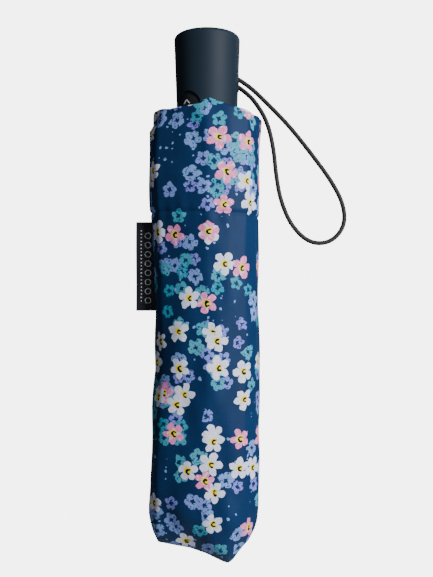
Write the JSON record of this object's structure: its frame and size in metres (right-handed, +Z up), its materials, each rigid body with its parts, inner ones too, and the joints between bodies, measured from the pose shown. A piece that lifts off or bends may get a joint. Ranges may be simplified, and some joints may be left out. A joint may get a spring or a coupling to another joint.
{
  "type": "folding umbrella",
  "caption": "Compact folding umbrella in its floral fabric sleeve, with a tapered dark handle, push button, wrist strap, telescoping shaft and folding ribs.",
  "frame": {"origin": "centre of the handle's flat end face", "axes": "+Z up along the shaft, out of the handle's end; the umbrella hangs down along -Z; -Y is the front, where the button faces"},
  "size_m": [0.1136, 0.0472, 0.2841],
  "materials": {
    "handle_plastic": "satin soft-touch, near black",
    "inner_plastic": "plain moulded black",
    "button_plastic": "satin, with a pale arrow",
    "strap_cord": "round braided cord, black",
    "shaft_steel": "drawn tube, satin",
    "spring_steel": "oiled wire",
    "rib_steel": "black enamel",
    "spoke_fibre": "pultruded glass fibre, semi-gloss",
    "canopy_fabric": "fine woven polyester, navy with small flowers",
    "sleeve_fabric": "fine woven polyester, navy with small flowers",
    "label_satin": "woven satin tab, black"
  },
  "bodies": {
    "handle": {"handle_shell": "handle_plastic", "handle_core": "inner_plastic", "handle_collar": "inner_plastic", "strap_eyelet": "inner_plastic", "wrist_strap": "strap_cord", "button_spring": "spring_steel", "lower_tube": "shaft_steel"},
    "button": {"push_button": "button_plastic"},
    "middle_shaft": {"middle_tube": "shaft_steel"},
    "upper_shaft": {"upper_tube": "shaft_steel", "opening_spring": "spring_steel", "crown": "inner_plastic", "ferrule": "handle_plastic", "canopy_bundle": "canopy_fabric", "canopy_tie": "canopy_fabric"},
    "runner": {"runner": "inner_plastic"},
    "sleeve": {"sleeve": "sleeve_fabric", "sleeve_label": "label_satin"},
    "top_rib_1": {"top_rib_1": "rib_steel"},
    "middle_rib_1": {"middle_rib_1": "rib_steel"},
    "outer_rib_1": {"outer_rib_1": "spoke_fibre"},
    "stretcher_1": {"stretcher_1": "rib_steel"},
    "top_rib_2": {"top_rib_2": "rib_steel"},
    "middle_rib_2": {"middle_rib_2": "rib_steel"},
    "outer_rib_2": {"outer_rib_2": "spoke_fibre"},
    "stretcher_2": {"stretcher_2": "rib_steel"},
    "top_rib_3": {"top_rib_3": "rib_steel"},
    "middle_rib_3": {"middle_rib_3": "rib_steel"},
    "outer_rib_3": {"outer_rib_3": "spoke_fibre"},
    "stretcher_3": {"stretcher_3": "rib_steel"},
    "top_rib_4": {"top_rib_4": "rib_steel"},
    "middle_rib_4": {"middle_rib_4": "rib_steel"},
    "outer_rib_4": {"outer_rib_4": "spoke_fibre"},
    "stretcher_4": {"stretcher_4": "rib_steel"},
    "top_rib_5": {"top_rib_5": "rib_steel"},
    "middle_rib_5": {"middle_rib_5": "rib_steel"},
    "outer_rib_5": {"outer_rib_5": "spoke_fibre"},
    "stretcher_5": {"stretcher_5": "rib_steel"},
    "top_rib_6": {"top_rib_6": "rib_steel"},
    "middle_rib_6": {"middle_rib_6": "rib_steel"},
    "outer_rib_6": {"outer_rib_6": "spoke_fibre"},
    "stretcher_6": {"stretcher_6": "rib_steel"},
    "top_rib_7": {"top_rib_7": "rib_steel"},
    "middle_rib_7": {"middle_rib_7": "rib_steel"},
    "outer_rib_7": {"outer_rib_7": "spoke_fibre"},
    "stretcher_7": {"stretcher_7": "rib_steel"},
    "top_rib_8": {"top_rib_8": "rib_steel"},
    "middle_rib_8": {"middle_rib_8": "rib_steel"},
    "outer_rib_8": {"outer_rib_8": "spoke_fibre"},
    "stretcher_8": {"stretcher_8": "rib_steel"},
    "canopy_panel_front_inner": {"canopy_panel_front_inner": "canopy_fabric"},
    "canopy_panel_front_middle": {"canopy_panel_front_middle": "canopy_fabric"},
    "canopy_panel_front_outer": {"canopy_panel_front_outer": "canopy_fabric"},
    "canopy_panel_back_inner": {"canopy_panel_back_inner": "canopy_fabric"},
    "canopy_panel_back_middle": {"canopy_panel_back_middle": "canopy_fabric"},
    "canopy_panel_back_outer": {"canopy_panel_back_outer": "canopy_fabric"}
  },
  "joints": [
    {"name": "button_press", "type": "slide", "parent": "handle", "child": "button", "axis": [0.6157, 0.788, 0], "range_m": [0, 0.002], "stiffness_N_per_m": 600, "springref_m": -0.001, "deforming": ["button_spring"]},
    {"name": "open", "type": "slide", "parent": "handle", "child": "middle_shaft", "axis": [0, 0, -1], "range_m": [0, 0.168], "deforming": ["opening_spring", "canopy_bundle", "canopy_tie"]},
    {"name": "upper_shaft_slide", "type": "slide", "parent": "middle_shaft", "child": "upper_shaft", "axis": [0, 0, -1], "range_m": [0, 0.167]},
    {"name": "runner_slide", "type": "slide", "parent": "upper_shaft", "child": "runner", "axis": [0, 0, -1], "range_m": [0, 0.10665]},
    {"name": "sleeve_pull", "type": "slide", "parent": "handle", "child": "sleeve", "axis": [0, 0, -1], "range_m": [0, 0.6], "deforming": ["sleeve", "sleeve_label"]},
    {"name": "top_rib_1_fold", "type": "hinge", "parent": "upper_shaft", "child": "top_rib_1", "pos_m": [0.0089, 0, -0.2505], "axis": [0, 1, 0], "range_deg": [0, 78]},
    {"name": "middle_rib_1_fold", "type": "hinge", "parent": "top_rib_1", "child": "middle_rib_1", "pos_m": [0.011, 0, -0.0925], "axis": [0, -1, 0], "range_deg": [0, 188]},
    {"name": "outer_rib_1_fold", "type": "hinge", "parent": "middle_rib_1", "child": "outer_rib_1", "pos_m": [0.0149, 0, -0.2565], "axis": [0, 1, 0], "range_deg": [0, 168]},
    {"name": "stretcher_1_swing", "type": "hinge", "parent": "runner", "child": "stretcher_1", "pos_m": [0.0089, 0.0022, -0.0705], "axis": [0, -1, 0], "range_deg": [0, 54.94]},
    {"name": "top_rib_2_fold", "type": "hinge", "parent": "upper_shaft", "child": "top_rib_2", "pos_m": [0.00629, 0.00629, -0.2505], "axis": [-0.7071, 0.7071, 0], "range_deg": [0, 78]},
    {"name": "middle_rib_2_fold", "type": "hinge", "parent": "top_rib_2", "child": "middle_rib_2", "pos_m": [0.00778, 0.00778, -0.0925], "axis": [0.7071, -0.7071, 0], "range_deg": [0, 188]},
    {"name": "outer_rib_2_fold", "type": "hinge", "parent": "middle_rib_2", "child": "outer_rib_2", "pos_m": [0.01054, 0.01054, -0.2565], "axis": [-0.7071, 0.7071, 0], "range_deg": [0, 168]},
    {"name": "stretcher_2_swing", "type": "hinge", "parent": "runner", "child": "stretcher_2", "pos_m": [0.00474, 0.00785, -0.0705], "axis": [0.7071, -0.7071, 0], "range_deg": [0, 54.94]},
    {"name": "top_rib_3_fold", "type": "hinge", "parent": "upper_shaft", "child": "top_rib_3", "pos_m": [0, 0.0089, -0.2505], "axis": [-1, 0, 0], "range_deg": [0, 78]},
    {"name": "middle_rib_3_fold", "type": "hinge", "parent": "top_rib_3", "child": "middle_rib_3", "pos_m": [0, 0.011, -0.0925], "axis": [1, 0, 0], "range_deg": [0, 188]},
    {"name": "outer_rib_3_fold", "type": "hinge", "parent": "middle_rib_3", "child": "outer_rib_3", "pos_m": [0, 0.0149, -0.2565], "axis": [-1, 0, 0], "range_deg": [0, 168]},
    {"name": "stretcher_3_swing", "type": "hinge", "parent": "runner", "child": "stretcher_3", "pos_m": [-0.0022, 0.0089, -0.0705], "axis": [1, 0, 0], "range_deg": [0, 54.94]},
    {"name": "top_rib_4_fold", "type": "hinge", "parent": "upper_shaft", "child": "top_rib_4", "pos_m": [-0.00629, 0.00629, -0.2505], "axis": [-0.7071, -0.7071, 0], "range_deg": [0, 78]},
    {"name": "middle_rib_4_fold", "type": "hinge", "parent": "top_rib_4", "child": "middle_rib_4", "pos_m": [-0.00778, 0.00778, -0.0925], "axis": [0.7071, 0.7071, 0], "range_deg": [0, 188]},
    {"name": "outer_rib_4_fold", "type": "hinge", "parent": "middle_rib_4", "child": "outer_rib_4", "pos_m": [-0.01054, 0.01054, -0.2565], "axis": [-0.7071, -0.7071, 0], "range_deg": [0, 168]},
    {"name": "stretcher_4_swing", "type": "hinge", "parent": "runner", "child": "stretcher_4", "pos_m": [-0.00785, 0.00474, -0.0705], "axis": [0.7071, 0.7071, 0], "range_deg": [0, 54.94]},
    {"name": "top_rib_5_fold", "type": "hinge", "parent": "upper_shaft", "child": "top_rib_5", "pos_m": [-0.0089, 0, -0.2505], "axis": [0, -1, 0], "range_deg": [0, 78]},
    {"name": "middle_rib_5_fold", "type": "hinge", "parent": "top_rib_5", "child": "middle_rib_5", "pos_m": [-0.011, 0, -0.0925], "axis": [0, 1, 0], "range_deg": [0, 188]},
    {"name": "outer_rib_5_fold", "type": "hinge", "parent": "middle_rib_5", "child": "outer_rib_5", "pos_m": [-0.0149, 0, -0.2565], "axis": [0, -1, 0], "range_deg": [0, 168]},
    {"name": "stretcher_5_swing", "type": "hinge", "parent": "runner", "child": "stretcher_5", "pos_m": [-0.0089, -0.0022, -0.0705], "axis": [0, 1, 0], "range_deg": [0, 54.94]},
    {"name": "top_rib_6_fold", "type": "hinge", "parent": "upper_shaft", "child": "top_rib_6", "pos_m": [-0.00629, -0.00629, -0.2505], "axis": [0.7071, -0.7071, 0], "range_deg": [0, 78]},
    {"name": "middle_rib_6_fold", "type": "hinge", "parent": "top_rib_6", "child": "middle_rib_6", "pos_m": [-0.00778, -0.00778, -0.0925], "axis": [-0.7071, 0.7071, 0], "range_deg": [0, 188]},
    {"name": "outer_rib_6_fold", "type": "hinge", "parent": "middle_rib_6", "child": "outer_rib_6", "pos_m": [-0.01054, -0.01054, -0.2565], "axis": [0.7071, -0.7071, 0], "range_deg": [0, 168]},
    {"name": "stretcher_6_swing", "type": "hinge", "parent": "runner", "child": "stretcher_6", "pos_m": [-0.00474, -0.00785, -0.0705], "axis": [-0.7071, 0.7071, 0], "range_deg": [0, 54.94]},
    {"name": "top_rib_7_fold", "type": "hinge", "parent": "upper_shaft", "child": "top_rib_7", "pos_m": [0, -0.0089, -0.2505], "axis": [1, 0, 0], "range_deg": [0, 78]},
    {"name": "middle_rib_7_fold", "type": "hinge", "parent": "top_rib_7", "child": "middle_rib_7", "pos_m": [0, -0.011, -0.0925], "axis": [-1, 0, 0], "range_deg": [0, 188]},
    {"name": "outer_rib_7_fold", "type": "hinge", "parent": "middle_rib_7", "child": "outer_rib_7", "pos_m": [0, -0.0149, -0.2565], "axis": [1, 0, 0], "range_deg": [0, 168]},
    {"name": "stretcher_7_swing", "type": "hinge", "parent": "runner", "child": "stretcher_7", "pos_m": [0.0022, -0.0089, -0.0705], "axis": [-1, 0, 0], "range_deg": [0, 54.94]},
    {"name": "top_rib_8_fold", "type": "hinge", "parent": "upper_shaft", "child": "top_rib_8", "pos_m": [0.00629, -0.00629, -0.2505], "axis": [0.7071, 0.7071, 0], "range_deg": [0, 78]},
    {"name": "middle_rib_8_fold", "type": "hinge", "parent": "top_rib_8", "child": "middle_rib_8", "pos_m": [0.00778, -0.00778, -0.0925], "axis": [-0.7071, -0.7071, 0], "range_deg": [0, 188]},
    {"name": "outer_rib_8_fold", "type": "hinge", "parent": "middle_rib_8", "child": "outer_rib_8", "pos_m": [0.01054, -0.01054, -0.2565], "axis": [0.7071, 0.7071, 0], "range_deg": [0, 168]},
    {"name": "stretcher_8_swing", "type": "hinge", "parent": "runner", "child": "stretcher_8", "pos_m": [0.00785, -0.00474, -0.0705], "axis": [-0.7071, -0.7071, 0], "range_deg": [0, 54.94]},
    {"name": "canopy_panel_front_inner_spread", "type": "hinge", "parent": "top_rib_1", "child": "canopy_panel_front_inner", "pos_m": [0.00705, 0, -0.25921], "axis": [-0.9781, 0, 0.2079], "range_deg": [0, 179], "deforming": ["canopy_panel_front_inner"]},
    {"name": "canopy_panel_front_middle_spread", "type": "hinge", "parent": "middle_rib_1", "child": "canopy_panel_front_middle", "pos_m": [0.06705, 0, 0.0615], "axis": [0.9397, 0, -0.342], "range_deg": [0, 179], "deforming": ["canopy_panel_front_middle"]},
    {"name": "canopy_panel_front_outer_spread", "type": "hinge", "parent": "outer_rib_1", "child": "canopy_panel_front_outer", "pos_m": [-0.1529, 0, -0.52504], "axis": [-0.848, 0, 0.5299], "range_deg": [0, 179], "deforming": ["canopy_panel_front_outer"]},
    {"name": "canopy_panel_back_inner_spread", "type": "hinge", "parent": "top_rib_5", "child": "canopy_panel_back_inner", "pos_m": [-0.00705, 0, -0.25921], "axis": [0.9781, 0, 0.2079], "range_deg": [0, 179], "deforming": ["canopy_panel_back_inner"]},
    {"name": "canopy_panel_back_middle_spread", "type": "hinge", "parent": "middle_rib_5", "child": "canopy_panel_back_middle", "pos_m": [-0.06705, 0, 0.0615], "axis": [-0.9397, 0, -0.342], "range_deg": [0, 179], "deforming": ["canopy_panel_back_middle"]},
    {"name": "canopy_panel_back_outer_spread", "type": "hinge", "parent": "outer_rib_5", "child": "canopy_panel_back_outer", "pos_m": [0.1529, 0, -0.52504], "axis": [0.848, 0, 0.5299], "range_deg": [0, 179], "deforming": ["canopy_panel_back_outer"]}
  ],
  "couplings": [
    {"joint": "upper_shaft_slide", "follows": "open", "ratio": 0.99405},
    {"joint": "runner_slide", "follows": "open", "ratio": 0.63482},
    {"joint": "sleeve_pull", "follows": "open", "ratio": 3.5714},
    {"joint": "top_rib_1_fold", "follows": "open", "rad_per_m": 8.1033},
    {"joint": "middle_rib_1_fold", "follows": "open", "rad_per_m": 19.531},
    {"joint": "outer_rib_1_fold", "follows": "open", "rad_per_m": 17.453},
    {"joint": "stretcher_1_swing", "follows": "open", "rad_per_m": 5.7076},
    {"joint": "top_rib_2_fold", "follows": "open", "rad_per_m": 8.1033},
    {"joint": "middle_rib_2_fold", "follows": "open", "rad_per_m": 19.531},
    {"joint": "outer_rib_2_fold", "follows": "open", "rad_per_m": 17.453},
    {"joint": "stretcher_2_swing", "follows": "open", "rad_per_m": 5.7076},
    {"joint": "top_rib_3_fold", "follows": "open", "rad_per_m": 8.1033},
    {"joint": "middle_rib_3_fold", "follows": "open", "rad_per_m": 19.531},
    {"joint": "outer_rib_3_fold", "follows": "open", "rad_per_m": 17.453},
    {"joint": "stretcher_3_swing", "follows": "open", "rad_per_m": 5.7076},
    {"joint": "top_rib_4_fold", "follows": "open", "rad_per_m": 8.1033},
    {"joint": "middle_rib_4_fold", "follows": "open", "rad_per_m": 19.531},
    {"joint": "outer_rib_4_fold", "follows": "open", "rad_per_m": 17.453},
    {"joint": "stretcher_4_swing", "follows": "open", "rad_per_m": 5.7076},
    {"joint": "top_rib_5_fold", "follows": "open", "rad_per_m": 8.1033},
    {"joint": "middle_rib_5_fold", "follows": "open", "rad_per_m": 19.531},
    {"joint": "outer_rib_5_fold", "follows": "open", "rad_per_m": 17.453},
    {"joint": "stretcher_5_swing", "follows": "open", "rad_per_m": 5.7076},
    {"joint": "top_rib_6_fold", "follows": "open", "rad_per_m": 8.1033},
    {"joint": "middle_rib_6_fold", "follows": "open", "rad_per_m": 19.531},
    {"joint": "outer_rib_6_fold", "follows": "open", "rad_per_m": 17.453},
    {"joint": "stretcher_6_swing", "follows": "open", "rad_per_m": 5.7076},
    {"joint": "top_rib_7_fold", "follows": "open", "rad_per_m": 8.1033},
    {"joint": "middle_rib_7_fold", "follows": "open", "rad_per_m": 19.531},
    {"joint": "outer_rib_7_fold", "follows": "open", "rad_per_m": 17.453},
    {"joint": "stretcher_7_swing", "follows": "open", "rad_per_m": 5.7076},
    {"joint": "top_rib_8_fold", "follows": "open", "rad_per_m": 8.1033},
    {"joint": "middle_rib_8_fold", "follows": "open", "rad_per_m": 19.531},
    {"joint": "outer_rib_8_fold", "follows": "open", "rad_per_m": 17.453},
    {"joint": "stretcher_8_swing", "follows": "open", "rad_per_m": 5.7076},
    {"joint": "canopy_panel_front_inner_spread", "follows": "open", "rad_per_m": 18.596},
    {"joint": "canopy_panel_front_middle_spread", "follows": "open", "rad_per_m": 18.596},
    {"joint": "canopy_panel_front_outer_spread", "follows": "open", "rad_per_m": 18.596},
    {"joint": "canopy_panel_back_inner_spread", "follows": "open", "rad_per_m": 18.596},
    {"joint": "canopy_panel_back_middle_spread", "follows": "open", "rad_per_m": 18.596},
    {"joint": "canopy_panel_back_outer_spread", "follows": "open", "rad_per_m": 18.596}
  ]
}
